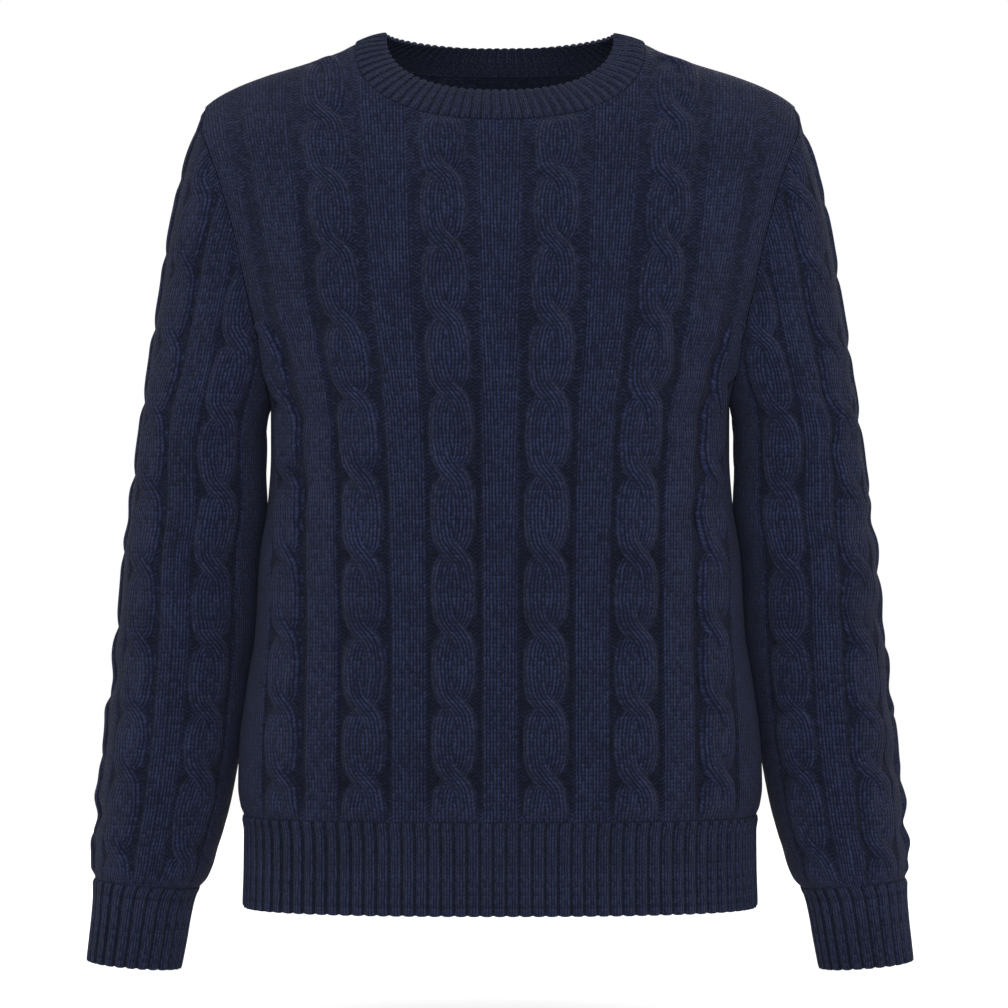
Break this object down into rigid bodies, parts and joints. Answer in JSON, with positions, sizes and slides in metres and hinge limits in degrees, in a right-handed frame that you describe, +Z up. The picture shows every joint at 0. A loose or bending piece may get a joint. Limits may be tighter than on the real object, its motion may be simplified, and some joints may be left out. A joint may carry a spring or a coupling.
{
  "type": "cable knit sweater, hollow and filled out as worn",
  "caption": "Crew-neck cable knit sweater, hollow and open at neck, hem and cuffs, with rope cables front, back and on the sleeves and ribbed edges.",
  "frame": {"origin": "middle of the neck opening, level with the two highest points of the neck rib, where the wearer's neck and shoulders hold the sweater", "axes": "+Z up, -Y to the garment's front, +X to the wearer's left arm"},
  "size_m": [0.6378, 0.2531, 0.7213],
  "materials": {
    "knit": "matte",
    "rib_knit": "matte"
  },
  "bodies": {
    "root": {"front": "knit", "back": "knit", "sleeve_left": "knit", "sleeve_right": "knit", "neck_rib": "rib_knit", "hem_rib_front": "rib_knit", "hem_rib_back": "rib_knit", "cuff_left": "rib_knit", "cuff_right": "rib_knit"}
  },
  "joints": []
}
